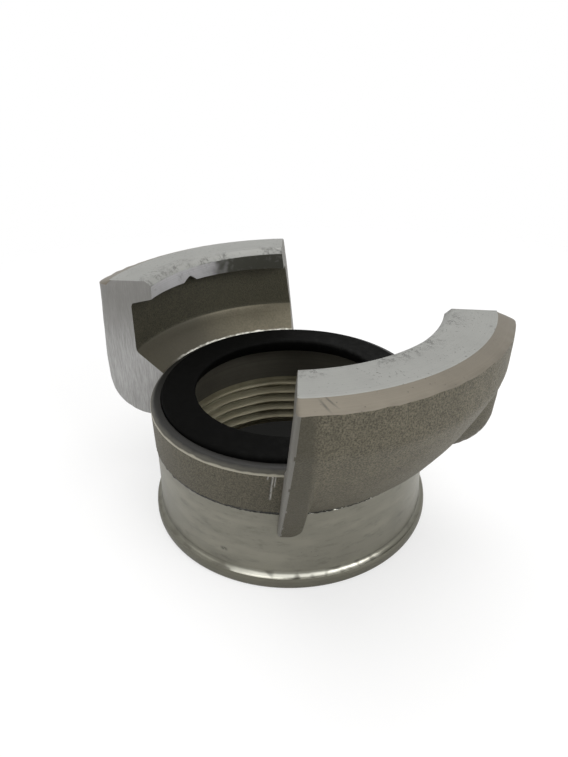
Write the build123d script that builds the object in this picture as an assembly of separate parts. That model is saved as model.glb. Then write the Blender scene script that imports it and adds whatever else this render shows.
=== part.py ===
from build123d import *
import os
from math import cos, radians, sin, tan

# Half of a symmetrical quarter-turn hose coupling with a G 1 1/2 female thread.
# Millimetres. The origin is the centre of the bottom face, +Z runs up the bore to
# the seal, and the two bayonet lugs are centred on +X and -X.

# Threaded end
major_r = 23.90            # G 1 1/2 thread, root radius
minor_r = 22.43            # G 1 1/2 thread, crest radius
thread_end_z = 12.6        # the thread stops here and a plain bore follows
plain_bore_r = 22.9
foot_r = 27.6              # flange round the bottom edge
foot_height = 2.0
foot_break = 0.4           # broken edge under the foot
barrel_r = 26.0            # turned barrel above the foot
flare_r = 1.3              # hollow fillet from the foot into the barrel
border_z = 15.8            # turning stops here and the cast skin begins

# Collar and seal seat
collar_r = 26.3
rim_z = 24.4
rim_flat_r = 25.4          # outer edge of the flat on the rim
rim_break_z = 23.6
seat_z = 20.3              # floor of the seal groove
groove_r = 24.65
groove_top_z = 23.0
rim_lip_r = 24.2           # the rim hooks over the bead of the seal

# Seal: a bead held in the groove, and a flexible lip that points inwards
bead_r = 24.55
bead_top_z = 22.9
seal_neck_r = 24.1
seal_top_z = 25.2
seal_bore_r = 17.75
lip_foot_r = 19.2
lip_foot_z = 22.2
bead_inner_r = 22.7
seal_edge = 0.5

# Lug section, by radius and height
top_z = 42.85
flat_inner_r = 27.85
flat_outer_r = 35.0
bevel_z = 42.0             # lower edge of the shallow outer bevel
wall_r = 38.0
crease_z = 35.7            # the upright wall turns in to the belly here
belly_r = 33.2             # a point on the bulged belly
belly_z = 25.1
throat_r = 26.8            # bore of the lip
throat_bevel_z = 41.8
recess_r = 31.1            # undercut behind the lip
recess_foot_z = 28.5
ramp_foot_r = 25.96        # the inner slope ends here, on the rim
ramp_foot_z = 23.9
lip_high_z = 39.3          # underside of the lip at the stop end
lip_low_z = 38.4           # underside of the lip at the lead end
root_r = 25.2              # how deep a lug is rooted in the collar

# Ends of a lug: each end face is upright nearly along a radius, with draft
lead_angle = -40.4
lead_offset = 2.2
lead_draft = 6.5
stop_angle = 43.0
stop_offset = -3.45
stop_draft = 4.0
stop_round = 1.6           # rounded upright corner of the stop end
half_sweep = 60.0          # the sections are revolved this far, then cut back

# Ribs that carry the two ends of a lug
stop_rib_width = 7.5
stop_rib_turn_z = 23.0     # the outer corner of the stop rib starts to round
stop_rib_foot_z = 14.0
lead_rib_width = 6.4
lead_rib_belly_r = 33.6
lead_rib_belly_z = 23.5
lead_rib_foot_r = 27.6
lead_rib_foot_z = 11.7
heel_round = 2.5


def ring(outline):
    """A full turn of a closed section in the XZ plane about Z."""
    return revolve(outline, Axis.Z, 360)


def sector(outline):
    """A part turn of a section, centred on +X."""
    return Rot(0, 0, -half_sweep) * revolve(outline, Axis.Z, 2 * half_sweep)


def section(*edges):
    return Plane.XZ * make_face(Curve() + list(edges))


def collar():
    outer = Polyline(
        (plain_bore_r, seat_z), (plain_bore_r, thread_end_z), (minor_r, thread_end_z),
        (minor_r, major_r - minor_r), (major_r, 0), (foot_r - foot_break, 0),
        (foot_r, foot_break), (foot_r, foot_height), (barrel_r + flare_r, foot_height),
    )
    flare = CenterArc((barrel_r + flare_r, foot_height + flare_r), flare_r, 180, 90)
    upper = Polyline(
        (barrel_r, foot_height + flare_r), (barrel_r, border_z), (collar_r, border_z),
        (collar_r, rim_break_z), (rim_flat_r, rim_z), (rim_lip_r, rim_z),
        (rim_lip_r, groove_top_z), (groove_r, groove_top_z), (groove_r, seat_z),
        (plain_bore_r, seat_z),
    )
    return ring(section(*outer.edges(), flare, *upper.edges()))


def seal():
    outline = Polyline(
        (bead_inner_r, seat_z), (bead_r, seat_z), (bead_r, bead_top_z),
        (seal_neck_r, bead_top_z), (seal_neck_r, seal_top_z - seal_edge),
        (seal_neck_r - seal_edge, seal_top_z), (seal_bore_r + seal_edge, seal_top_z),
        (seal_bore_r, seal_top_z - seal_edge), (lip_foot_r, lip_foot_z),
        (bead_inner_r, seat_z),
    )
    return ring(section(*outline.edges()))


def lug_inside():
    """Points shared by the lug and both ribs, from the slope to the top flat."""
    return [
        (root_r, border_z), (root_r, ramp_foot_z - 0.3), (ramp_foot_r, ramp_foot_z),
        (recess_r, recess_foot_z), (recess_r, lip_low_z), (throat_r, lip_low_z),
        (throat_r, throat_bevel_z), (flat_inner_r, top_z), (flat_outer_r, top_z),
        (wall_r, bevel_z),
    ]


def lug_blank():
    shell = Polyline(*lug_inside(), (wall_r, crease_z))
    belly = ThreePointArc((wall_r, crease_z), (belly_r, belly_z), (collar_r - 0.3, border_z))
    foot = Line((collar_r - 0.3, border_z), (root_r, border_z))
    return sector(section(*shell.edges(), belly, foot))


def stop_rib():
    """Full-depth rib at the stop end, with a large round under its outer corner."""
    turn = stop_rib_turn_z - stop_rib_foot_z
    shell = Polyline((root_r, stop_rib_foot_z), *lug_inside(), (wall_r, stop_rib_turn_z))
    corner = CenterArc((wall_r - turn, stop_rib_turn_z), turn, 270, 90)
    foot = Line((wall_r - turn, stop_rib_foot_z), (root_r, stop_rib_foot_z))
    rib = sector(section(*shell.edges(), corner, foot))
    return rib & end_block(stop_angle, stop_offset - stop_rib_width, stop_draft, 1)


def lead_rib():
    """Rib at the lead end, which tapers in and runs down past the cast border."""
    shell = Polyline((root_r, lead_rib_foot_z), *lug_inside(), (wall_r, crease_z))
    slope = ThreePointArc(
        (wall_r, crease_z), (lead_rib_belly_r, lead_rib_belly_z),
        (lead_rib_foot_r, lead_rib_foot_z),
    )
    foot = Line((lead_rib_foot_r, lead_rib_foot_z), (root_r, lead_rib_foot_z))
    rib = sector(section(*shell.edges(), slope, foot))
    return rib & end_block(lead_angle, lead_offset + lead_rib_width, lead_draft, -1)


def end_block(angle, offset, draft, side):
    """A half space beyond (side 1) or before (side -1) a drafted end plane.

    The plane's trace on the top flat runs at angle, offset sideways from the axis.
    Going down, the plane leans by draft degrees towards the side of the block.
    """
    size = 120.0
    tangent = Vector(-sin(radians(angle)), cos(radians(angle)), 0)
    normal = (tangent * side * cos(radians(draft)) + Vector(0, 0, 1) * sin(radians(draft)))
    origin = tangent * offset + Vector(0, 0, top_z)
    along = Vector(cos(radians(angle)), sin(radians(angle)), 0)
    face = Plane(origin=origin, x_dir=along, z_dir=normal)
    return face * Box(size, size, size, align=(Align.CENTER, Align.CENTER, Align.MIN))


def ramp_cutter():
    """Turns the underside of the lip into a helical ramp from lead end to stop end."""
    rise = lip_high_z - lip_low_z
    per_turn = rise / (2 * half_sweep) * 360
    path = Helix(per_turn, rise, recess_r)
    depth = 1.6
    tool = Plane(origin=(recess_r, 0, 0), x_dir=(1, 0, 0), z_dir=(0, -1, 0)) * Pos(
        -4, -depth / 2) * Rectangle(12, depth)
    ramp = Rot(0, 0, -half_sweep) * Pos(0, 0, lip_low_z) * sweep(tool, path, is_frenet=True)
    return ramp & Cylinder(recess_r, 3 * top_z)


def lug():
    blank = lug_blank() + stop_rib() + lead_rib()
    blank -= ramp_cutter()
    blank -= end_block(stop_angle, stop_offset, stop_draft, 1)
    blank -= end_block(lead_angle, lead_offset, lead_draft, -1)
    return soften(blank)


def soften(blank):
    """Rounds the upright corner of the stop end and the heel of the lead rib."""
    def on_wall(edge):
        low, high = edge.position_at(0.02), edge.position_at(0.98)
        far = all(Vector(p.X, p.Y).length > wall_r - 0.05 for p in (low, high))
        return far and abs(low.Z - high.Z) > 5 and low.Y > 0

    def on_heel(edge):
        low = all(abs(p.Z - lead_rib_foot_z) < 0.01 for p in (edge @ 0, edge @ 1))
        return low and edge.geom_type == GeomType.LINE

    blank = fillet(blank.edges().filter_by(on_wall), stop_round)
    heel = blank.edges().filter_by(on_heel).sort_by(Axis.Y)[-1]
    return fillet(heel, heel_round)


def coupling_body():
    one = lug()
    return collar() + one + Rot(0, 0, 180) * one


os.makedirs("parts", exist_ok=True)
body = coupling_body()
gasket = seal()
export_step(body, "parts/coupling_body.step")
export_step(gasket, "parts/gasket.step")
print("body", round(body.volume), "gasket", round(gasket.volume), body.bounding_box())
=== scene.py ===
import bpy
import bmesh
from math import asin, atan2, ceil, cos, degrees, hypot, pi, radians, sin, sqrt, tan
from mathutils import Matrix, Vector, noise


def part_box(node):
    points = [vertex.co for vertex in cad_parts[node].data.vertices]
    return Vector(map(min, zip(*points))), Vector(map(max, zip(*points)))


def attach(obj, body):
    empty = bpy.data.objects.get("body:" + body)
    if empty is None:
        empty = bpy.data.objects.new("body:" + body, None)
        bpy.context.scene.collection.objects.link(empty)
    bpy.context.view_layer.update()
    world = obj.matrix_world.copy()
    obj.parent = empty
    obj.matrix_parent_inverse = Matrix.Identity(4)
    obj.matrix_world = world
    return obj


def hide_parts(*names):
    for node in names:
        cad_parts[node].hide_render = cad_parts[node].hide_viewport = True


# Half of a quarter-turn hose coupling: cast and turned aluminium with a rubber seal.
# Settings are in millimetres and degrees; meshes are written in metres.

mm = 0.001
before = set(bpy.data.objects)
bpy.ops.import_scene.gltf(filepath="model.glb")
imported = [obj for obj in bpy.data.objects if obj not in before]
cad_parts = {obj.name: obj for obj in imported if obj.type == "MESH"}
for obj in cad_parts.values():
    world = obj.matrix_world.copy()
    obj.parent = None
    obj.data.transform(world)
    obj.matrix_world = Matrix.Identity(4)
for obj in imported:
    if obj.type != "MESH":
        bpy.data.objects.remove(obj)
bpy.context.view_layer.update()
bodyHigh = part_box("coupling_body")[1] / mm
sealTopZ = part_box("gasket")[1].z / mm - 0.02
topZ = bodyHigh.z - 0.005
wallR = bodyHigh.x - 0.04
footR = bodyHigh.y - 0.02

# the finishes of the casting, in the order of its material slots
finishes = ["foot", "polish", "barrel", "cast", "rim", "bore", "thread",
            "faced", "bevel", "ground", "throat", "recess", "slope"]


# 0 at low, 1 at high, eased at both
def smooth(low, high, value):
    t = min(1.0, max(0.0, (value - low) / (high - low)))
    return t * t * (3 - 2 * t)


# noise between about -1 and 1 with lumps of the given size
def wobble(x, y, z, size):
    return noise.noise(Vector((x / size, y / size, z / size)))


def mixed(a, b, share):
    return tuple(p + (q - p) * share for p, q in zip(a, b))


# points of an arc in the radius-height plane
def arc(centre, radius, start, stop, count):
    points = []
    for i in range(count + 1):
        a = radians(start + (stop - start) * i / count)
        points.append((centre[0] + radius * cos(a), centre[1] + radius * sin(a)))
    return points


# the same path with no stretch longer than step
def spaced(points, step):
    out = [points[0]]
    for a, b in zip(points, points[1:]):
        count = max(1, ceil(hypot(b[0] - a[0], b[1] - a[1]) / step))
        out += [mixed(a, b, i / count) for i in range(1, count + 1)]
    return out


# the same path cut into count even stretches
def evened(points, count):
    lengths = [0.0]
    for a, b in zip(points, points[1:]):
        lengths.append(lengths[-1] + hypot(b[0] - a[0], b[1] - a[1]))
    out = []
    j = 0
    for i in range(count + 1):
        want = lengths[-1] * i / count
        while j < len(points) - 2 and lengths[j + 1] < want:
            j += 1
        share = (want - lengths[j]) / max(1e-9, lengths[j + 1] - lengths[j])
        out.append(mixed(points[j], points[j + 1], min(1.0, max(0.0, share))))
    return out


# a smooth path through a few points
def curved(points, count):
    padded = [Vector(p) for p in [points[0]] + points + [points[-1]]]
    spans = len(points) - 1
    out = []
    for i in range(count + 1):
        s = min(spans - 1, int(spans * i / count))
        f = spans * i / count - s
        a, b, c, d = padded[s:s + 4]
        square = 2 * a - 5 * b + 4 * c - d
        cube = 3 * b - a - 3 * c + d
        q = b + 0.5 * ((c - a) * f + square * f ** 2 + cube * f ** 3)
        out.append((q.x, q.y))
    return out


# an open outline spun a full turn about Z
def spunStrip(points, columns):
    bm = bmesh.new()
    line = [bm.verts.new((r * mm, 0, z * mm)) for r, z in points]
    edges = [bm.edges.new(pair) for pair in zip(line, line[1:])]
    bmesh.ops.spin(bm, geom=line + edges, cent=(0, 0, 0), axis=(0, 0, 1), angle=2 * pi,
                   steps=columns, use_merge=True)
    return bm


# adds a strip to the rest; each is spun on its own, because a spin slows down in a full mesh
def addStrip(bm, strip):
    mesh = bpy.data.meshes.new("strip")
    strip.to_mesh(mesh)
    strip.free()
    bm.from_mesh(mesh)
    bpy.data.meshes.remove(mesh)


def polar(vert):
    return hypot(vert.co.x, vert.co.y) / mm, atan2(vert.co.y, vert.co.x), vert.co.z / mm


def place(vert, r, a, z):
    vert.co = Vector((r * cos(a), r * sin(a), z)) * mm


def newPiece(name, bm, materials):
    bmesh.ops.recalc_face_normals(bm, faces=bm.faces)
    mesh = bpy.data.meshes.new(name)
    bm.to_mesh(mesh)
    bm.free()
    piece = bpy.data.objects.new(name, mesh)
    bpy.context.scene.collection.objects.link(piece)
    for material in materials:
        mesh.materials.append(material)
    return piece


# smooth shading, with edges sharper than limit degrees kept hard
def shadeByAngle(piece, limit):
    piece.data.shade_smooth()
    piece.data.set_sharp_from_angle(angle=radians(limit))


# Collar

collar = {
    "columns": 360,
    "rootR": 23.9,         # G 1 1/2 thread
    "crestR": 22.43,
    "pitch": 2.309,
    "threadTurn": 0.601,   # share of a turn that sets where the thread starts
    "threadEnd": 12.6,
    "runout": 0.9,
    "mouthZ": 0.8,
    "plainR": 22.9,
    "footZ": 2.0,
    "flareR": 1.0,
    "barrelLowR": 26.4,    # the barrel narrows a little towards its top
    "barrelR": 26.0,
    "borderZ": 15.8,       # the turning stops here and the cast skin begins
    "burrHeight": 0.3,
    "skinR": 26.27,
    "rimZ": 24.4,
    "rimFlatR": 25.5,
    "rimBreakZ": 23.55,
    "seatZ": 20.3,
    "grooveR": 24.65,
    "grooveTopZ": 23.0,
    "lipR": 24.2,
}


# strips of the turned outline with their finishes, from the thread mouth out, up and back in
def collarStrips():
    c = collar
    barrelR, lowR, borderZ, skinR = c["barrelR"], c["barrelLowR"], c["borderZ"], c["skinR"]
    flare = arc((lowR + c["flareR"], c["footZ"] + c["flareR"]), c["flareR"], 262, 183, 10)
    foot = [
        (c["rootR"] + 0.1, 0.0), (footR - 0.45, 0.0), (footR - 0.25, 0.06), (footR - 0.06, 0.25),
        (footR, 0.5), (footR - 0.03, 1.2), (footR - 0.12, 1.75), (footR - 0.3, 1.97), flare[0],
    ]
    barrel = [flare[-1], (lowR - 0.03, 3.7), (barrelR + 0.17, 9.0), (barrelR, borderZ - 0.12)]
    burr = [barrel[-1], (barrelR + 0.14, borderZ + 0.02), (skinR - 0.02, borderZ + 0.2)]
    skin = [burr[-1], (skinR, borderZ + 0.5), (skinR, c["rimBreakZ"] - 0.25)]
    rim = [
        skin[-1], (skinR - 0.05, c["rimBreakZ"]), (skinR - 0.2, c["rimBreakZ"] + 0.3),
        (c["rimFlatR"], c["rimZ"] - 0.08), (c["rimFlatR"] - 0.2, c["rimZ"]),
        (c["lipR"] + 0.12, c["rimZ"]), (c["lipR"], c["rimZ"] - 0.12), (c["lipR"], c["grooveTopZ"]),
    ]
    threadTop = c["threadEnd"] + c["runout"]
    bore = [
        rim[-1], (c["grooveR"], c["grooveTopZ"]), (c["grooveR"], c["seatZ"]),
        (c["plainR"], c["seatZ"]), (c["plainR"], threadTop),
    ]
    thread = [(c["plainR"], threadTop), (c["plainR"], 0.0)]
    return [
        ("foot", foot, 1.0), ("polish", flare, 1.0), ("barrel", barrel, 1.0), ("cast", burr, 0.1),
        ("cast", skin, 0.7), ("rim", rim, 0.6), ("bore", bore, 1.0), ("thread", thread, c["pitch"] / 14),
    ]


# rounded V thread, with its counterbored mouth and its run-out
def threadRadius(height, angle):
    c = collar
    phase = (height / c["pitch"] - angle / (2 * pi) - c["threadTurn"]) % 1.0
    rounded = 0.62 * (1 - abs(2 * phase - 1)) + 0.38 * (0.5 - 0.5 * cos(2 * pi * phase))
    fade = smooth(c["threadEnd"] - 2.0, c["threadEnd"] + 0.4, height)
    radius = c["crestR"] + (c["rootR"] - c["crestR"]) * (1 - fade) * rounded
    opening = smooth(c["threadEnd"] - 1.0, c["threadEnd"] + c["runout"] - 0.1, height)
    radius += (c["plainR"] - c["crestR"]) * opening
    mouth = c["rootR"] + 0.1 - 1.4 * max(0.0, height - c["mouthZ"])
    return max(radius, mouth)


# torn edge that the tool left where the turning stops, as (outward, upward)
def burrAt(x, y, z):
    near = 1 - smooth(0.15, 0.9, abs(z - collar["borderZ"]))
    ragged = 0.8 * wobble(x, y, 0, 2.4) + 0.7 * wobble(x, y, 3, 0.5)
    return (0.7 * max(0.0, wobble(x, y, 8, 0.5)) * near * collar["burrHeight"],
            ragged * near * collar["burrHeight"])


def buildCollar(materials):
    c = collar
    bm = bmesh.new()
    for finish, points, step in collarStrips():
        strip = spunStrip(spaced(points, step), c["columns"])
        for face in strip.faces:
            face.material_index = finishes.index(finish)
        if finish == "thread":
            for vert in strip.verts:
                r, a, z = polar(vert)
                place(vert, threadRadius(z, a), a, z)
        addStrip(bm, strip)
    bmesh.ops.remove_doubles(bm, verts=bm.verts, dist=0.002 * mm)
    for vert in bm.verts:
        r, a, z = polar(vert)
        if r > c["barrelR"] - 0.05 and c["borderZ"] - 0.2 < z < c["rimBreakZ"] - 0.2:
            x, y = r * cos(a), r * sin(a)
            out, up = burrAt(x, y, z)
            skin = 0.03 * wobble(x, y, z, 3.0) - 0.03
            place(vert, r + out + skin * smooth(0.0, 0.5, z - c["borderZ"]), a, z + up)
    return newPiece("castBody", bm, materials)


# Lugs

lug = {
    "rootR": 25.0,
    "rampFoot": (25.96, 23.9),
    "recessR": 31.1,
    "recessFootZ": 28.5,
    "throatR": 26.8,
    "throatBevelZ": 41.8,
    "flatInnerR": 27.85,
    "flatOuterR": 35.0,
    "bevelZ": 42.0,
    "lipAtStop": 39.35,    # underside of the lip, which climbs from the lead end
    "lipAtLead": 38.45,
    "lipDip": 0.5,
    "creaseZ": 35.7,
    "creaseTurn": 6.0,
    "creaseSweep": 26,
    "fall": [(35.6, 29.9), (33.2, 25.1), (29.9, 20.0)],   # the belly below its crease
    "shin": [(34.3, 25.6), (29.4, 15.4)],   # the lead rib below the crease
    "leadAngle": -40.4,
    "leadOffset": 2.2,
    "leadDraft": 6.5,
    "stopAngle": 43.0,
    "stopOffset": -3.45,
    "stopDraft": 4.0,
    "stopRoundTop": 2.3,   # round of the upright corner at the stop end
    "stopRoundLow": 0.7,
    "stopRib": (29.0, 40.5),   # angles between which the belly deepens into the stop rib
    "stopTurnZ": 23.0,
    "stopFootZ": 14.0,
    "leadRib": (-34.1, -32.7),   # angles between which the lead rib drops back to the belly
    "leadRound": 0.8,
    "leadFootR": 27.6,
    "leadFootZ": 11.75,
    "heelRound": 2.5,
    "notchAngle": 10.0,    # chipped corner in the lip of one lug
    "notchWidth": 3.4,
    "notchDepth": 1.15,
    "edge": 0.16,
    "dressedLead": 0.6,    # reach of the belt round the lead edge, and how far that wavers
    "dressedWaver": 0.3,
    "outerRows": 46,
    # columns between fractions of the way from lead end to stop end
    "columns": [(0.026, 6), (0.05, 3), (0.13, 24), (0.18, 6), (0.8, 96), (0.94, 16), (0.985, 10), (1.0, 8)],
}


# outside of the lug below the bevel: plain belly, stop rib and lead rib
def outerPaths():
    g = lug
    borderZ = collar["borderZ"]
    start = (wallR, g["bevelZ"])
    crease = arc((wallR - g["creaseTurn"], g["creaseZ"] + 1.0), g["creaseTurn"], 0, -g["creaseSweep"], 6)
    fall = [crease[-1]] + g["fall"] + [(collar["barrelR"] + 0.1, borderZ)]
    belly = [start] + crease + curved(fall, 24) + [(g["rootR"], borderZ - 0.1)]
    turn = g["stopTurnZ"] - g["stopFootZ"]
    stop = [start] + arc((wallR - turn, g["stopTurnZ"]), turn, 0, -90, 16) + [(g["rootR"], g["stopFootZ"])]
    shin = [crease[-1]] + g["shin"] + [(g["leadFootR"] + 0.25, g["leadFootZ"] + 0.7)]
    toe = [(g["leadFootR"] - 0.4, g["leadFootZ"]), (g["rootR"], g["leadFootZ"])]
    lead = [start] + crease + curved(shin, 18) + toe
    return [evened(path, g["outerRows"]) for path in (belly, stop, lead)]


# angles of the lead and stop end faces, which lean by their drafts
def endAngles(radius, height):
    g = lug
    drop = topZ - height
    lead = g["leadOffset"] - drop * tan(radians(g["leadDraft"]))
    stop = g["stopOffset"] + drop * tan(radians(g["stopDraft"]))
    return radians(g["leadAngle"]) + asin(lead / radius), radians(g["stopAngle"]) + asin(stop / radius)


# fractions from lead end to stop end, closer where the section changes
def lugColumns():
    out = [0.0]
    for stop, count in lug["columns"]:
        start = out[-1]
        out += [start + (stop - start) * i / count for i in range(1, count + 1)]
    return out


# where the outside stands at fraction u, from the three paths
def outerPoint(u, belly, stop, lead):
    g = lug
    first, last = endAngles(belly[0], belly[1])
    angle = degrees(first + (last - first) * u)
    toHeel = radians(g["leadRib"][1] - 0.4 - angle) * g["leadFootR"]
    past = min(1.0, max(0.0, 1 - toHeel / g["heelRound"]))
    lift = g["heelRound"] * (1 - sqrt(1 - past ** 2)) * (1 - smooth(g["leadFootZ"] + 0.4, 18.0, lead[1]))
    out = mixed(belly, (lead[0], lead[1] + lift), 1 - smooth(*g["leadRib"], angle))
    return mixed(out, stop, smooth(*g["stopRib"], angle))


# height of the lip's underside at fraction u
def lipHeight(u, notched):
    g = lug
    lip = g["lipAtLead"] + (g["lipAtStop"] - g["lipAtLead"]) * u
    if notched:
        first, last = endAngles(g["throatR"], lip)
        away = abs(degrees(first + (last - first) * u) - g["notchAngle"]) / g["notchWidth"]
        lip += g["notchDepth"] * max(0.0, 1 - away) ** 0.8
    return lip


# closed section at fraction u as (radius, height, finish), from the root up inside and down outside
def lugSection(u, paths, notched):
    g = lug
    lip = lipHeight(u, notched)
    rampR, rampZ = g["rampFoot"]
    recessR, throatR = g["recessR"], g["throatR"]
    corner = outerPoint(u, *(path[0] for path in paths))
    marks = [
        (g["rootR"], collar["borderZ"] + 1.0, "recess", 1), (g["rootR"], rampZ - 0.4, "recess", 1),
        (rampR, rampZ, "slope", 5), (recessR - 0.35, g["recessFootZ"] - 0.35, "slope", 1),
        (recessR - 0.05, g["recessFootZ"] + 0.15, "recess", 1),
        (recessR, g["recessFootZ"] + 0.7, "recess", 6),
        (recessR, min(lip, 38.6) - g["lipDip"] - 0.3, "recess", 1),
        (recessR - 0.3, min(lip, 38.9) - g["lipDip"], "recess", 4),
        (throatR + 0.15, lip - 0.03, "recess", 1), (throatR, lip + 0.12, "throat", 3),
        (throatR, g["throatBevelZ"], "faced", 1), (g["flatInnerR"] - 0.06, topZ - 0.06, "faced", 1),
        (g["flatInnerR"] + 0.1, topZ, "faced", 6), (g["flatOuterR"] - 0.04, topZ, "faced", 1),
        (g["flatOuterR"] + 0.1, topZ - 0.03, "bevel", 3),
    ]
    marks.append((corner[0] - 0.12, corner[1] + 0.03, "bevel", 1))
    out = []
    for here, after in zip(marks, marks[1:]):
        out += [(*mixed(here[:2], after[:2], i / here[3]), here[2]) for i in range(here[3])]
    out.append(marks[-1][:3])
    out += [(*outerPoint(u, *points), "cast") for points in zip(*paths)]
    return out


# reach of the round up the stop end's outer corner
def stopReach(z):
    return lug["stopRoundLow"] + (lug["stopRoundTop"] - lug["stopRoundLow"]) * smooth(26, 41, z)


# rounds the outer corners of both ends; at the stop end the round turns under with the rib
def roundedEnd(r, z, fromLead, fromStop, share):
    g = lug
    share *= smooth(g["rootR"] + 0.4, g["rootR"] + 2.4, r)
    if fromLead < g["leadRound"]:
        short = g["leadRound"] - fromLead
        return r - share * (g["leadRound"] - sqrt(g["leadRound"] ** 2 - short ** 2)), z
    reach = stopReach(z)
    if fromStop >= reach:
        return r, z
    inset = share * (reach - sqrt(reach ** 2 - (reach - fromStop) ** 2))
    under = 1 - smooth(g["stopFootZ"], g["stopTurnZ"], z)
    return r - inset * (1 - under), z + inset * under


# puts one point of the section at its angle, with the unevenness of the cast skin
def lugPoint(u, r, z, finish, outside):
    borderZ = collar["borderZ"]
    first, last = endAngles(r, z)
    a = first + (last - first) * u
    width = r * (last - first)
    r, z = roundedEnd(r, z, width * u, width * (1 - u), outside)
    x, y = r * cos(a), r * sin(a)
    if finish == "cast" and r > lug["rootR"] + 0.9:
        out, up = burrAt(x, y, z)
        soft = 0.06 * wobble(x, y, z, 6.0) + 0.035 * wobble(x, y, z, 1.6) - 0.07
        r += out + soft * smooth(borderZ - 0.2, borderZ + 1.5, z)
        z += up
    if outside > 0.9 and abs(z - lug["bevelZ"]) < 0.1:
        z -= 0.1 + 0.16 * wobble(x, y, 5, 2.2)   # the turned bevel ends in a wavy line
    return r, a, z


# the belt that dressed the end faces also took the rounded corners beside them
def dressed(face):
    x, y, z = face.calc_center_median() / mm
    r, angle = hypot(x, y), atan2(y, x)
    first, last = endAngles(r, z)
    ragged = lug["dressedWaver"] * wobble(r, 0, z, 1.0)
    atStop = r * (last - angle) < stopReach(z) + 0.1 + ragged
    atLead = r * (angle - first) < lug["dressedLead"] + 0.7 * ragged
    return atStop or atLead


def buildLug(name, turn, notched, materials):
    paths = outerPaths()
    columns = lugColumns()
    steps = len(columns) - 1
    sections = [lugSection(u, paths, notched) for u in columns]
    kinds = [point[2] for point in sections[0]]
    firstCast = kinds.index("cast")
    bm = bmesh.new()
    rowOf = bm.verts.layers.int.new("row")
    loop = []
    for row, (r, z, _) in enumerate(sections[0]):
        vert = bm.verts.new((r * mm, 0, z * mm))
        vert[rowOf] = row
        loop.append(vert)
    edges = [bm.edges.new((loop[i - 1], loop[i])) for i in range(len(loop))]
    spun = bmesh.ops.spin(bm, geom=loop + edges, cent=(0, 0, 0), axis=(0, 0, 1), angle=1.0, steps=steps)
    for vert in bm.verts:
        row = vert[rowOf]
        column = round(polar(vert)[1] * steps)
        r, z, finish = sections[column][row]
        outside = min(1.0, max(0.0, (row - firstCast + 5) / 4))
        r, a, z = lugPoint(columns[column], r, z, finish, outside)
        place(vert, r, a, z)
    for face in bm.faces:
        low, high = sorted({vert[rowOf] for vert in face.verts})
        wrapped = low == 0 and high == len(kinds) - 1
        kind = "cast" if wrapped or kinds[low] == "cast" else kinds[low]
        if low >= firstCast - 1 and dressed(face):
            kind = "ground"
        face.material_index = finishes.index(kind)
    bmesh.ops.rotate(bm, verts=bm.verts, cent=(0, 0, 0), matrix=Matrix.Rotation(turn, 3, "Z"))
    lastEdges = [e for e in spun["geom_last"] if isinstance(e, bmesh.types.BMEdge)]
    for rimEdges in (edges, lastEdges):
        cap = bmesh.ops.contextual_create(bm, geom=rimEdges)["faces"][0]
        cap.material_index = finishes.index("ground")
    bmesh.ops.recalc_face_normals(bm, faces=bm.faces)
    bmesh.ops.bevel(bm, geom=edges + lastEdges, offset=lug["edge"] * mm, segments=2, profile=0.5,
                    affect="EDGES", material=-1, clamp_overlap=True)
    bmesh.ops.triangulate(bm, faces=[f for f in bm.faces if len(f.verts) > 4])
    return newPiece(name, bm, materials)


# joins the lugs to the collar in one closed skin
def uniteBody(base, others):
    for other in others:
        join = base.modifiers.new("join", "BOOLEAN")
        join.operation = "UNION"
        join.solver = "EXACT"
        join.object = other
    bpy.context.view_layer.update()
    graph = bpy.context.evaluated_depsgraph_get()
    united = bpy.data.meshes.new_from_object(base.evaluated_get(graph))
    base.modifiers.clear()
    old = base.data
    base.data = united
    bpy.data.meshes.remove(old)
    for other in others:
        bpy.data.objects.remove(other)


# Seal

seal = {
    "columns": 256,
    "bead": [(22.7, 20.32), (24.5, 20.32), (24.55, 20.5), (24.55, 22.8), (24.45, 22.92), (24.12, 22.95)],
    "neckR": 24.12,
    "edge": 0.45,
    "boreR": 17.78,
    "dish": 0.14,
    "under": [
        (17.9, 24.2), (18.5, 23.0), (19.15, 22.25), (19.6, 22.0), (21.0, 21.2), (22.4, 20.45), (22.7, 20.32),
    ],
}


# moulded ring with a faint dish between two soft edges
def buildSeal(material):
    s = seal
    outer = arc((s["neckR"] - s["edge"], sealTopZ - s["edge"]), s["edge"], 0, 90, 5)
    inner = arc((s["boreR"] + s["edge"], sealTopZ - s["edge"]), s["edge"], 90, 180, 5)
    dish = []
    for i in range(1, 9):
        r, z = mixed(outer[-1], inner[0], i / 9)
        dish.append((r, z - s["dish"] * sin(pi * i / 9)))
    bm = spunStrip(spaced(s["bead"] + outer + dish + inner + s["under"], 1.2), s["columns"])
    bmesh.ops.remove_doubles(bm, verts=bm.verts, dist=0.002 * mm)
    for vert in bm.verts:
        r, a, z = polar(vert)
        lift = 0.05 * wobble(22 * cos(a), 22 * sin(a), 0, 14.0) - 0.05
        place(vert, r, a, z + lift * smooth(23.0, 24.2, z))
    piece = newPiece("rubberSeal", bm, [material])
    shadeByAngle(piece, 40)
    return piece


# Materials

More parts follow.
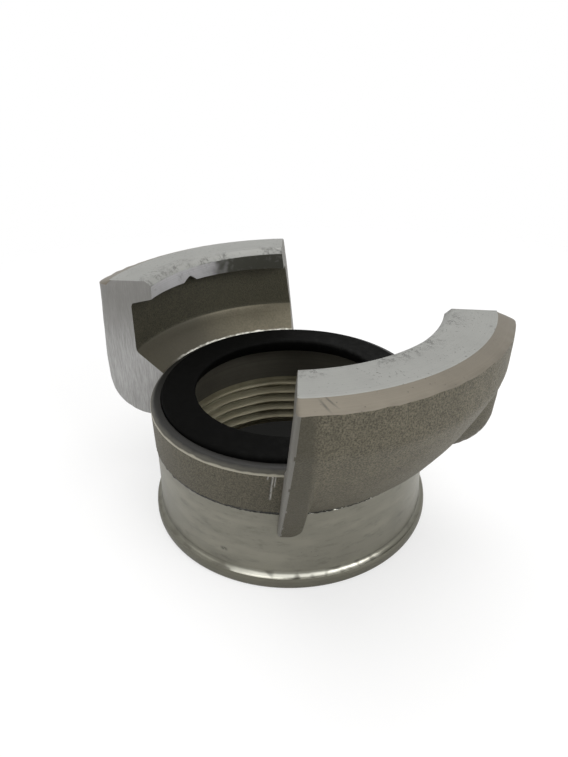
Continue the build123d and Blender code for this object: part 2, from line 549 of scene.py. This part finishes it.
# short calls that add nodes to one material; lengths are millimetres in Object coordinates
class Nodes:

    def __init__(self, name):
        self.material = bpy.data.materials.new(name)
        self.material.use_nodes = True
        self.tree = self.material.node_tree
        self.shader = self.tree.nodes["Principled BSDF"]
        coords = self.tree.nodes.new("ShaderNodeTexCoord")
        self.position = self.vectorMath("MULTIPLY", coords.outputs["Object"], (1000, 1000, 1000))
        split = self.tree.nodes.new("ShaderNodeSeparateXYZ")
        self.tree.links.new(self.position, split.inputs[0])
        self.x, self.y, self.z = split.outputs
        squares = self.math("ADD", self.math("POWER", self.x, 2), self.math("POWER", self.y, 2))
        self.r = self.math("SQRT", squares)
        # from 0 at the stop ends of the lugs to 1 at their lead ends
        self.leadSide = self.ramp(self.times(self.x, self.y), -450, 450, 1.0, 0.0)

    def put(self, socket, value):
        if isinstance(value, bpy.types.NodeSocket):
            self.tree.links.new(value, socket)
        else:
            socket.default_value = value

    def vectorMath(self, operation, a, b):
        node = self.tree.nodes.new("ShaderNodeVectorMath")
        node.operation = operation
        self.put(node.inputs[0], a)
        self.put(node.inputs[1], b)
        return node.outputs["Value" if operation == "DOT_PRODUCT" else "Vector"]

    def math(self, operation, a, b=0.0):
        node = self.tree.nodes.new("ShaderNodeMath")
        node.operation = operation
        self.put(node.inputs[0], a)
        self.put(node.inputs[1], b)
        return node.outputs[0]

    def times(self, *values):
        product = values[0]
        for value in values[1:]:
            product = self.math("MULTIPLY", product, value)
        return product

    def vector(self, x, y, z):
        node = self.tree.nodes.new("ShaderNodeCombineXYZ")
        for socket, value in zip(node.inputs, (x, y, z)):
            self.put(socket, value)
        return node.outputs[0]

    def noise(self, size, detail=2.0, roughness=0.5, at=None):
        node = self.tree.nodes.new("ShaderNodeTexNoise")
        self.put(node.inputs["Vector"], at or self.position)
        node.inputs["Scale"].default_value = 1 / size
        node.inputs["Detail"].default_value = detail
        node.inputs["Roughness"].default_value = roughness
        return node.outputs["Fac"]

    def cells(self, size):
        node = self.tree.nodes.new("ShaderNodeTexVoronoi")
        self.put(node.inputs["Vector"], self.position)
        node.inputs["Scale"].default_value = 1 / size
        return node.outputs["Distance"]

    def ramp(self, value, low, high, start=0.0, stop=1.0):
        node = self.tree.nodes.new("ShaderNodeMapRange")
        node.interpolation_type = "SMOOTHSTEP"
        self.put(node.inputs["Value"], value)
        for key, number in (("From Min", low), ("From Max", high), ("To Min", start), ("To Max", stop)):
            node.inputs[key].default_value = number
        return node.outputs["Result"]

    def mix(self, share, a, b):
        node = self.tree.nodes.new("ShaderNodeMix")
        node.data_type = "RGBA"
        self.put(node.inputs["Factor"], share)
        self.put(node.inputs[6], (*a, 1) if isinstance(a, tuple) else a)
        self.put(node.inputs[7], (*b, 1) if isinstance(b, tuple) else b)
        return node.outputs[2]

    # pits where the cells' middles and a slow noise agree
    def pits(self, size, reach, amount):
        spots = self.ramp(self.cells(size), 0.0, reach, 1.0, 0.0)
        return self.times(spots, self.ramp(self.noise(size * 4), 0.72 - amount * 0.3, 0.78 - amount * 0.3))

    # distance out from the axis, measured towards one angle
    def towards(self, angle):
        return self.vectorMath("DOT_PRODUCT", self.position, (cos(radians(angle)), sin(radians(angle)), 0.0))

    # an upright scratch at an angle round the axis, from low to high; it drifts by lean per mm of height
    def scratch(self, angle, low, high, lean, width):
        a = radians(angle)
        outward = self.towards(angle)
        aside = self.vectorMath("DOT_PRODUCT", self.position, (-sin(a), cos(a), lean))
        aside = self.math("ABSOLUTE", self.math("SUBTRACT", aside, lean * (low + high) / 2))
        line = self.times(self.ramp(aside, 0.0, width, 1.0, 0.0), self.ramp(outward, 20.0, 21.0))
        line = self.times(line, self.ramp(self.z, low - 0.4, low + 0.3))
        return self.times(line, self.ramp(self.z, high - 0.3, high + 0.4, 1.0, 0.0))

    # several such scratches at once
    def scratches(self, marks):
        lines = [self.scratch(*mark) for mark in marks]
        deepest = lines[0]
        for line in lines[1:]:
            deepest = self.math("MAXIMUM", deepest, line)
        return deepest

    def finish(self, color, rough, metal, height=None, depth=0.05):
        self.put(self.shader.inputs["Base Color"], color)
        self.put(self.shader.inputs["Roughness"], rough)
        self.shader.inputs["Metallic"].default_value = metal
        if height:
            node = self.tree.nodes.new("ShaderNodeBump")
            node.inputs["Distance"].default_value = depth * mm
            self.put(node.inputs["Height"], height)
            self.put(self.shader.inputs["Normal"], node.outputs[0])
        return self.material


def scaled(color, factor):
    return tuple(value * factor for value in color)


# turned faces: color, how far the tool rings differ, staining, roughness, metal share and pits
turned = {
    "foot": {
        "color": (0.132, 0.127, 0.098), "rings": 0.06, "stain": 0.3,
        "rough": 0.4, "metal": 0.5, "pits": 0.3,
    },
    "barrel": {
        "color": (0.187, 0.18, 0.145), "rings": 0.02, "stain": 0.2,
        "rough": 0.4, "metal": 0.5, "pits": 0.5,
        "spot": (0.02, 0.02, 0.016), "spotAt": (-64.4, 5.6, 6.0, 0.0, 1.0),
    },
    "rim": {
        "color": (0.2, 0.188, 0.15), "rings": 0.15, "stain": 0.25,
        "rough": 0.5, "metal": 0.3, "pits": 0.0,
        "shade": (0.008, 0.0075, 0.006),
    },
    "bore": {
        "color": (0.11, 0.103, 0.082), "rings": 0.15, "stain": 0.3,
        "rough": 0.5, "metal": 0.3, "pits": 0.0,
    },
    "thread": {
        "color": (0.34, 0.31, 0.21), "rings": 0.1, "stain": 0.4,
        "rough": 0.42, "metal": 0.4, "pits": 0.0,
    },
    "faced": {
        "color": (0.262, 0.264, 0.248), "rings": 0.03, "stain": 0.14,
        "rough": 0.5, "metal": 0.4, "pits": 0.85,
        "dirt": (0.1, 0.097, 0.09),
    },
    "bevel": {
        "color": (0.152, 0.134, 0.104), "rings": 0.06, "stain": 0.2,
        "rough": 0.48, "metal": 0.4, "pits": 0.85,
        "dent": (0.05, 0.045, 0.038),
        "dents": [(-31.6, 42.25, 42.6, 1.6, 0.3), (-30.4, 42.45, 42.8, 2.2, 0.25)],
    },
    "throat": {
        "color": (0.42, 0.415, 0.42), "rings": 0.08, "stain": 0.3,
        "rough": 0.42, "metal": 0.4, "pits": 0.3,
        # the first colour here is the dark half of a painted reflection
        "darkReflection": (0.06, 0.06, 0.048), "smear": (0.16, 0.16, 0.15),
    },
    "slope": {
        "color": (0.16, 0.142, 0.096), "rings": 0.06, "stain": 0.3,
        "rough": 0.5, "metal": 0.4, "pits": 0.85,
        "dirt": (0.05, 0.045, 0.031), "glint": (0.85, 0.84, 0.76), "glintAngle": 150,
    },
}


# color and bump height that every turned face shares
def turnedFace(n, look):
    rings = n.noise(0.16, 2.0, 0.6, n.vector(n.r, n.z, 0.0))
    broad = n.noise(1.2, 1.0, 0.5, n.vector(n.r, n.z, 3.0))
    stain = n.noise(5.0, 4.0, 0.62)
    dark, light = scaled(look["color"], 1 - look["rings"]), scaled(look["color"], 1 + look["rings"])
    color = n.mix(n.ramp(rings, 0.3, 0.7), dark, light)
    color = n.mix(n.ramp(stain, 0.42, 0.72, 0.0, look["stain"]), color, scaled(look["color"], 0.55))
    height = n.math("ADD", n.times(rings, 0.3), n.times(broad, 0.2))
    if look["pits"]:
        pits = n.pits(0.7, 0.2, look["pits"])
        color = n.mix(n.times(pits, 0.7), color, scaled(look["color"], 0.25))
        height = n.math("SUBTRACT", height, pits)
    return color, height


def turnedMetal(name, key):
    n = Nodes(name)
    look = turned[key]
    color, height = turnedFace(n, look)
    return n.finish(color, look["rough"], look["metal"], height)


flare = {
    # the bright colour below is a painted highlight, centred on this angle
    "highlightAngle": -34,
    "dull": (0.15, 0.146, 0.118),
    "rubbedAndHighlight": (0.76, 0.75, 0.66),
    "stain": (0.11, 0.105, 0.085),
}


# the flare above the foot carries a painted highlight, a narrow bright band on one side, and is dull on the
# other
def flareMetal():
    n = Nodes("flareWithPaintedHighlight")
    towards = n.math("ADD", n.towards(flare["highlightAngle"]), n.times(n.noise(7.0, 3.0), 6.0))
    # painted highlight: bright towards one angle, in a narrow band of height
    rubbedAndHighlight = n.ramp(towards, 25.0, 29.5)
    rubbedAndHighlight = n.times(rubbedAndHighlight, n.ramp(n.math("ADD", n.z, n.times(n.noise(3.0), 0.3)), 2.45, 2.8, 1.0, 0.15))
    color = n.mix(rubbedAndHighlight, flare["dull"], flare["rubbedAndHighlight"])
    color = n.mix(n.ramp(n.noise(4.0, 2.0), 0.55, 0.66, 0.0, 0.8), color, flare["stain"])
    return n.finish(color, 0.3, 0.8, n.noise(0.3, 2.0), 0.02)


# the barrel is smudged along the turning and carries one spot of dirt
def barrelMetal():
    n = Nodes("turnedBarrel")
    look = turned["barrel"]
    color, height = turnedFace(n, look)
    along = n.vectorMath("MULTIPLY", n.position, (0.4, 0.4, 1.3))
    smudges = n.ramp(n.noise(1.4, 5.0, 0.68, along), 0.5, 0.72, 0.0, 0.5)
    color = n.mix(smudges, color, scaled(look["color"], 0.5))
    rubbedAndHighlight = n.ramp(n.noise(4.0, 2.0, 0.5, along), 0.45, 0.7, 0.0, 0.4)
    color = n.mix(rubbedAndHighlight, color, scaled(look["color"], 1.4))
    spot = n.times(n.scratch(*look["spotAt"]), n.ramp(n.noise(0.5, 3.0), 0.35, 0.55))
    color = tornEdge(n, n.mix(spot, color, look["spot"]))
    return n.finish(color, look["rough"], look["metal"], height)


# the inner slope is dirtier towards the stop end and carries a painted highlight along part of its foot
def slopeMetal():
    n = Nodes("innerSlope")
    look = turned["slope"]
    color, height = turnedFace(n, look)
    grain = n.ramp(n.noise(0.4, 3.0, 0.6), 0.35, 0.7, 0.0, 0.45)
    color = n.mix(grain, color, scaled(look["color"], 0.5))
    color = n.mix(n.times(n.ramp(n.leadSide, 0.25, 0.9, 1.0, 0.0), 0.82), color, look["dirt"])
    # painted highlight along the foot of the slope towards the back
    foot = n.ramp(n.math("ADD", n.r, n.times(n.noise(1.6, 2.0), 0.5)), 26.45, 26.7, 1.0, 0.0)
    foot = n.times(foot, n.ramp(n.towards(look["glintAngle"]), 13.0, 20.0))
    glint = n.times(foot, n.ramp(n.noise(1.4, 3.0), 0.4, 0.55, 0.35, 1.0))
    return n.finish(n.mix(glint, color, look["glint"]), look["rough"], look["metal"], height)


# the top flats hold grey dirt and torn specks along their inner edge
def facedMetal():
    n = Nodes("facedTop")
    look = turned["faced"]
    color, height = turnedFace(n, look)
    near = n.ramp(n.r, lug["flatInnerR"] + 0.5, lug["flatInnerR"] + 3.4, 1.0, 0.0)
    patches = n.ramp(n.noise(7.0, 2.0), 0.44, 0.56)
    streaks = n.times(n.ramp(n.noise(0.8, 6.0, 0.8), 0.5, 0.58), near, patches)
    specks = n.times(n.ramp(n.noise(0.45, 2.0, 0.6), 0.64, 0.7), n.ramp(n.noise(6.0), 0.4, 0.6, 0.3, 1.0))
    dirt = n.math("MAXIMUM", streaks, specks)
    color = n.mix(n.times(dirt, 0.62), color, look["dirt"])
    return n.finish(color, look["rough"], look["metal"], n.math("SUBTRACT", height, dirt))


# the rim is painted dark as shade by the seal and carries a painted highlight along its lower outer edge
def rimMetal():
    n = Nodes("turnedRim")
    look = turned["rim"]
    color, height = turnedFace(n, look)
    ragged = n.times(n.noise(2.0, 3.0), 0.4)
    outer = n.ramp(n.math("ADD", n.r, ragged), 25.6, 26.2)
    color = n.mix(outer, look["shade"], scaled(look["color"], 0.34))
    # painted highlight along the rounded lower outer edge
    edgeHighlight = n.ramp(n.math("ADD", n.z, ragged), 23.75, 24.0, 1.0, 0.0)
    color = n.mix(edgeHighlight, color, scaled(look["color"], 1.7))
    return n.finish(color, look["rough"], look["metal"], height)


# the throat of the lip carries a painted reflection: bright towards the stop end and dark towards the lead
# end
def throatMetal():
    n = Nodes("lipThroat")
    look = turned["throat"]
    color, height = turnedFace(n, look)
    side = n.math("ADD", n.times(n.x, n.y, 0.01), n.times(n.noise(3.5, 2.0, 0.5), 3.0))
    # painted reflection: darker towards the lead end
    color = n.mix(n.ramp(side, 0.4, 1.9, 1.0, 0.0), color, look["darkReflection"])
    color = n.mix(n.ramp(n.noise(1.3, 3.0, 0.6), 0.55, 0.7, 0.0, 0.4), color, look["smear"])
    return n.finish(color, look["rough"], look["metal"], height)


# two short dents mark the bevel near a lead end
def bevelMetal():
    n = Nodes("turnedBevel")
    look = turned["bevel"]
    color, height = turnedFace(n, look)
    dents = n.scratches(look["dents"])
    color = n.mix(n.times(dents, 0.8), color, look["dent"])
    return n.finish(color, look["rough"], look["metal"], n.math("SUBTRACT", height, dents))


# sand-cast skin: colors between which the grain runs, grain size, roughness, metal share
cast = {
    "skin": {
        "dark": (0.044, 0.039, 0.024), "light": (0.158, 0.14, 0.096),
        "grain": 0.25, "rough": 0.6, "metal": 0.25,
        # painted shade: the lead rib is darkened from this line on
        "ribSlope": (-0.69, -0.63),   # y over x where the darker lead rib meets the belly
        "scratches": [
            (-44.7, 18.8, 24.4, -0.13, 0.3), (-45.7, 22.8, 24.4, -0.2, 0.26),
            (-43.4, 21.4, 24.2, -0.14, 0.22),
        ],
        "scratch": (0.42, 0.41, 0.38),
    },
    # the recess colours are the skin's at about half: painted shade under the lip
    "recess": {
        "dark": (0.023, 0.021, 0.013), "light": (0.08, 0.074, 0.046),
        "grain": 0.25, "rough": 0.6, "metal": 0.25,
    },
}


# grainy skin: the recess colours are a darker copy of the skin, painted shade under the lip, lighter towards
# the lead end; the outside carries painted shade low down and on the lead rib
def castMetal(name, key):
    n = Nodes(name)
    look = cast[key]
    grain = n.noise(look["grain"], 3.0, 0.65)
    coarse = n.noise(look["grain"] * 2.4, 2.0, 0.55)
    both = n.math("ADD", n.times(grain, 0.84), n.times(coarse, 0.16))
    color = n.mix(n.ramp(both, 0.34, 0.66), look["dark"], look["light"])
    color = n.mix(n.ramp(n.noise(4.5, 3.0, 0.6), 0.4, 0.72, 0.0, 0.25), color, look["dark"])
    if key == "recess":
        # the painted shade of the recess is lighter towards the lead end
        color = n.mix(n.times(n.leadSide, 0.5), color, look["light"])
    else:
        # painted shade low down and on the lead rib, which faces away from the light
        rib = n.ramp(n.math("DIVIDE", n.y, n.x), *look["ribSlope"], 1.0, 0.0)
        rib = n.times(rib, n.ramp(n.r, 26.8, 27.2))
        shaded = n.math("MAXIMUM", n.ramp(n.z, 14.0, 34.0, 0.5, 0.0), n.times(rib, 0.75))
        color = n.mix(shaded, color, look["dark"])
    pits = n.pits(0.5, 0.24, 0.6)
    color = n.mix(n.times(pits, 0.6), color, scaled(look["dark"], 0.4))
    height = n.math("SUBTRACT", both, n.times(pits, 0.5))
    if key == "skin":
        marks = n.times(n.scratches(look["scratches"]), n.ramp(n.noise(0.5, 2.0), 0.3, 0.5, 0.35, 1.0))
        color = n.mix(n.times(marks, 0.85), color, look["scratch"])
        height = n.math("SUBTRACT", height, marks)
        color = tornEdge(n, color)
    return n.finish(color, look["rough"], look["metal"], height, 0.16)


torn = {
    # a dark line of painted shadow under the burr, and bright specks of painted highlight
    "burrShadow": (0.006, 0.006, 0.004),
    "burrGlint": (0.9, 0.89, 0.8),
    "burrGlintSize": 0.75,
}


# torn metal where the turning stops: a dark line of painted shadow under the burr, with bright specks of
# painted highlight below one lug
def tornEdge(n, color):
    away = n.math("ABSOLUTE", n.math("SUBTRACT", n.z, collar["borderZ"]))
    away = n.math("SUBTRACT", away, n.times(n.noise(0.7, 2.0), 0.5))
    # painted shadow along the torn edge
    line = n.times(n.ramp(away, 0.0, 0.12, 1.0, 0.0), n.ramp(n.r, 26.9, 27.2, 1.0, 0.0))
    # painted highlight: bright specks, mostly below one lug
    burrGlints = n.times(line, n.ramp(n.noise(torn["burrGlintSize"], 2.0, 0.6), 0.58, 0.62))
    burrGlints = n.times(burrGlints, n.ramp(n.x, 19.0, 22.0, 0.05, 1.0))
    return n.mix(burrGlints, n.mix(line, color, torn["burrShadow"]), torn["burrGlint"])


ground = {
    "dark": (0.3, 0.297, 0.29),
    "light": (0.45, 0.447, 0.44),
    "dull": (0.25, 0.247, 0.24),
    "upper": (0.175, 0.17, 0.158),
    # painted shade for the lead end faces
    "lead": (0.115, 0.109, 0.092),
}


# end faces dressed upright on a belt, darker towards the top, and darker at the lead ends as painted shade
def groundMetal():
    n = Nodes("groundEnds")
    lines = n.noise(0.2, 3.0, 0.7, n.vectorMath("MULTIPLY", n.position, (1, 1, 0.03)))
    wide = n.noise(1.3, 2.0, 0.5, n.vectorMath("MULTIPLY", n.position, (1, 1, 0.12)))
    color = n.mix(n.ramp(lines, 0.3, 0.7), ground["dark"], ground["light"])
    color = n.mix(n.ramp(wide, 0.4, 0.75, 0.0, 0.4), color, ground["dull"])
    color = n.mix(n.ramp(n.z, 26.0, 40.0, 0.12, 0.8), color, ground["upper"])
    # painted shade on the lead ends, which face away from the light
    color = n.mix(n.times(n.leadSide, 0.85), color, ground["lead"])
    return n.finish(color, 0.5, 0.4, lines)


rubberLook = {
    "black": (0.0022, 0.0022, 0.002),
    "dusty": (0.013, 0.013, 0.0125),
    "rough": 0.7,
    "specular": 0.025,
}


# black moulded rubber with faint dusty patches, lighter towards one side
def rubber():
    n = Nodes("blackRubber")
    dust = n.noise(1.6, 5.0, 0.72)
    side = n.ramp(n.math("ADD", n.x, n.y), -24.0, 30.0, 0.15, 1.0)
    dusty = n.times(n.ramp(dust, 0.4, 0.75, 0.35, 1.0), side)
    color = n.mix(dusty, rubberLook["black"], rubberLook["dusty"])
    n.shader.inputs["Specular IOR Level"].default_value = rubberLook["specular"]
    return n.finish(color, rubberLook["rough"], 0.0, n.noise(0.25, 3.0, 0.6), 0.02)


# one material for each finish, in their order
def bodyMaterials():
    return [
        turnedMetal("turnedFoot", "foot"), flareMetal(), barrelMetal(), castMetal("castSkin", "skin"),
        rimMetal(), turnedMetal("turnedBore", "bore"), turnedMetal("threadFlanks", "thread"),
        facedMetal(), bevelMetal(), groundMetal(), throatMetal(), castMetal("recessSkin", "recess"),
        slopeMetal(),
    ]


# Stage, in metres

stage = {
    "floorSize": 2.0,
    "floorColor": (0.97, 0.97, 0.97),
    # painted shadow: the floor is dark where it is seen down the bore
    "boreShadowColor": (0.02, 0.02, 0.019),   # the floor seen down the bore
    "paleness": 0.6,   # how far the shadow is lightened for the camera
    "fadeFrom": 0.1,
    "fadeTo": 0.22,
    "skyHigh": 0.72,
    "skyLow": 0.4,
    "cameraAngle": -38.4,
    "cameraAway": 0.0947,
    "cameraHeight": 0.07946,
    "lookAngle": 142.16,
    "lookDown": 29.54,
    "roll": -1.01,
    "lens": 27.16,
    # name, place, width, watts and color of each lamp
    "lamps": [
        ("overhead", (-0.1, 0.15, 0.9), 0.9, 3.8, (1.0, 0.995, 0.98)),
        ("left", (-0.25, -0.75, 0.5), 0.5, 0.8, (1, 1, 1)),
        ("right", (0.75, 0.2, 0.45), 0.5, 2.6, (1, 1, 1)),
    ],
}


# pale floor that keeps the shadow near the part, is painted dark as shadow inside the bore, fades into the
# white world and is clear from below
def buildFloor():
    bm = bmesh.new()
    bmesh.ops.create_grid(bm, x_segments=1, y_segments=1, size=stage["floorSize"] / 2)
    bmesh.ops.translate(bm, verts=bm.verts, vec=(0, 0, -0.05 * mm))
    n = Nodes("paleFloor")
    # painted shadow inside the bore
    inBore = n.ramp(n.r, collar["rootR"] + 0.3, collar["rootR"] + 1.2, 1.0, 0.0)
    n.shader.inputs["Specular IOR Level"].default_value = 0.1
    n.finish(n.mix(inBore, stage["floorColor"], stage["boreShadowColor"]), 0.9, 0.0)
    nodes, links = n.tree.nodes, n.tree.links
    glow = nodes.new("ShaderNodeEmission")
    links.new(n.mix(inBore, (1.0, 1.0, 1.0), stage["boreShadowColor"]), glow.inputs["Color"])
    seen = n.times(nodes.new("ShaderNodeLightPath").outputs["Is Camera Ray"], stage["paleness"])
    clear = nodes.new("ShaderNodeBsdfTransparent")
    faded = n.ramp(n.r, stage["fadeFrom"] / mm, stage["fadeTo"] / mm)
    surface = n.shader.outputs[0]
    below = nodes.new("ShaderNodeNewGeometry").outputs["Backfacing"]
    for share, other in ((seen, glow), (faded, clear), (below, clear)):
        blend = nodes.new("ShaderNodeMixShader")
        links.new(share, blend.inputs["Fac"])
        links.new(surface, blend.inputs[1])
        links.new(other.outputs[0], blend.inputs[2])
        surface = blend.outputs[0]
    links.new(surface, nodes["Material Output"].inputs["Surface"])
    newPiece("floor", bm, [n.material])


# white to the camera and in gloss; otherwise a soft sky, brighter overhead
def buildWorld():
    world = bpy.data.worlds.new("studio")
    bpy.context.scene.world = world
    world.use_nodes = True
    nodes, links = world.node_tree.nodes, world.node_tree.links
    nodes.clear()
    coords = nodes.new("ShaderNodeTexCoord")
    split = nodes.new("ShaderNodeSeparateXYZ")
    links.new(coords.outputs["Generated"], split.inputs[0])
    rise = nodes.new("ShaderNodeMapRange")
    levels = {"From Min": -0.1, "From Max": 0.9, "To Min": stage["skyLow"], "To Max": stage["skyHigh"]}
    for key, number in levels.items():
        rise.inputs[key].default_value = number
    links.new(split.outputs["Z"], rise.inputs["Value"])
    sky = nodes.new("ShaderNodeBackground")
    links.new(rise.outputs[0], sky.inputs["Strength"])
    white = nodes.new("ShaderNodeBackground")
    for background in (sky, white):
        background.inputs["Color"].default_value = (1, 1, 1, 1)
    rays = nodes.new("ShaderNodeLightPath")
    seen = rays.outputs["Is Camera Ray"]
    for key in ("Is Glossy Ray", "Is Transmission Ray"):
        either = nodes.new("ShaderNodeMath")
        either.operation = "MAXIMUM"
        links.new(seen, either.inputs[0])
        links.new(rays.outputs[key], either.inputs[1])
        seen = either.outputs[0]
    pick = nodes.new("ShaderNodeMixShader")
    links.new(seen, pick.inputs["Fac"])
    links.new(sky.outputs[0], pick.inputs[1])
    links.new(white.outputs[0], pick.inputs[2])
    out = nodes.new("ShaderNodeOutputWorld")
    links.new(pick.outputs[0], out.inputs[0])


# a round lamp aimed at the part
def addLamp(name, spot, size, power, color):
    light = bpy.data.lights.new(name, "AREA")
    light.shape = "DISK"
    light.size = size
    light.energy = power
    light.color = color
    lamp = bpy.data.objects.new(name, light)
    bpy.context.scene.collection.objects.link(lamp)
    lamp.location = spot
    aim = Vector((0, 0, 0.02)) - Vector(spot)
    lamp.rotation_euler = aim.to_track_quat("-Z", "Y").to_euler()


def buildLights():
    for lamp in stage["lamps"]:
        addLamp(*lamp)


def buildCamera():
    s = stage
    angle, look, down, roll = (radians(s[key]) for key in ("cameraAngle", "lookAngle", "lookDown", "roll"))
    forward = Vector((cos(look) * cos(down), sin(look) * cos(down), -sin(down)))
    side = forward.cross(Vector((0, 0, 1))).normalized()
    right = side * cos(roll) + side.cross(forward) * sin(roll)
    up = right.cross(forward)
    camera = bpy.data.objects.new("camera", bpy.data.cameras.new("camera"))
    camera.data.sensor_fit = "VERTICAL"
    camera.data.sensor_height = 36
    camera.data.lens = s["lens"]
    camera.data.clip_start = 0.005
    camera.data.clip_end = 20
    spot = Vector((s["cameraAway"] * cos(angle), s["cameraAway"] * sin(angle), s["cameraHeight"]))
    camera.matrix_world = Matrix.Translation(spot) @ Matrix((right, up, -forward)).transposed().to_4x4()
    bpy.context.scene.collection.objects.link(camera)
    bpy.context.scene.camera = camera


def main():
    materials = bodyMaterials()
    body = buildCollar(materials)
    print("collar", len(body.data.polygons))
    lugs = [buildLug("lugPlus", 0.0, False, materials), buildLug("lugMinus", pi, True, materials)]
    print("lugs", [len(piece.data.polygons) for piece in lugs])
    uniteBody(body, lugs)
    shadeByAngle(body, 34)
    print("united", len(body.data.polygons))
    ring = buildSeal(rubber())
    print("seal", len(ring.data.polygons))
    for piece, node, slot in ((body, "coupling_body", "aluminium"), (ring, "gasket", "rubber")):
        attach(piece, "root")
        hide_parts(node)
    buildFloor()
    buildWorld()
    buildLights()
    buildCamera()
    bpy.context.scene.view_settings.view_transform = "Standard"
    print("stage ready")


main()
